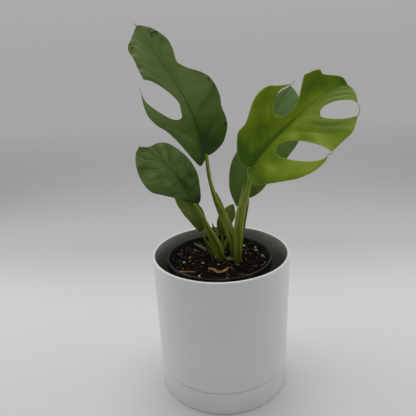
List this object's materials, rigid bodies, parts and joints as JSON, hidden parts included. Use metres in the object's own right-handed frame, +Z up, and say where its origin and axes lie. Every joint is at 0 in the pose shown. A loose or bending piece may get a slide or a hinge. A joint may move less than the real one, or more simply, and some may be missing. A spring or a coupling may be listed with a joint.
{
  "type": "potted split-leaf plant",
  "caption": "Young split-leaf climbing plant in a plastic nursery pot, standing in a white cylindrical ceramic cover pot with a flush saucer.",
  "frame": {"origin": "centre of the saucer's flat underside, on the floor", "axes": "+Z up out of the pot, -Y the front with the split leaves facing the viewer, +X to the right as seen from the front"},
  "size_m": [0.188, 0.13, 0.3399],
  "materials": {
    "ceramic": "satin white glazed ceramic",
    "nursery_plastic": "moulded black polypropylene",
    "soil": "moist dark potting mix, crumbly",
    "perlite": "chalky expanded grains, stained",
    "bark": "weathered bark chips",
    "dry_fibre": "dry papery plant matter",
    "stem_base": "pale green waxy stem",
    "stalk": "waxy ribbed leaf stalk",
    "leaf_dark": "leathery dark green leaf",
    "leaf_grey": "grey green leathery leaf",
    "leaf_bright": "glossy young yellow green leaf"
  },
  "bodies": {
    "root": {"back_leaf": "leaf_grey", "back_leaf_stalk": "stalk", "bark_chip_1": "bark", "bark_chip_2": "bark", "bark_chip_3": "bark", "bark_chip_4": "bark", "bark_chip_5": "bark", "bark_chip_6": "bark", "bark_chip_7": "bark", "bright_leaf_sheath": "stalk", "bright_leaf_stalk": "stalk", "bright_split_leaf": "leaf_bright", "bud_scale": "stalk", "ceramic_pot": "ceramic", "dry_sheath_strip": "dry_fibre", "fallen_leaf_scrap": "dry_fibre", "left_leaf": "leaf_dark", "left_leaf_stalk": "stalk", "low_left_leaf": "leaf_dark", "low_left_leaf_stalk": "stalk", "nursery_pot": "nursery_plastic", "perlite_1": "perlite", "perlite_10": "perlite", "perlite_11": "perlite", "perlite_12": "perlite", "perlite_2": "perlite", "perlite_3": "perlite", "perlite_4": "perlite", "perlite_5": "perlite", "perlite_6": "perlite", "perlite_7": "perlite", "perlite_8": "perlite", "perlite_9": "perlite", "potting_soil": "soil", "root_fibre": "dry_fibre", "root_nub_1": "stem_base", "root_nub_2": "stem_base", "saucer": "ceramic", "small_back_leaf": "leaf_grey", "small_back_leaf_stalk": "stalk", "stem_crown": "stem_base", "tall_leaf_sheath": "stalk", "tall_leaf_stalk": "stalk", "tall_split_leaf": "leaf_dark", "young_shoot": "stalk"}
  },
  "joints": []
}
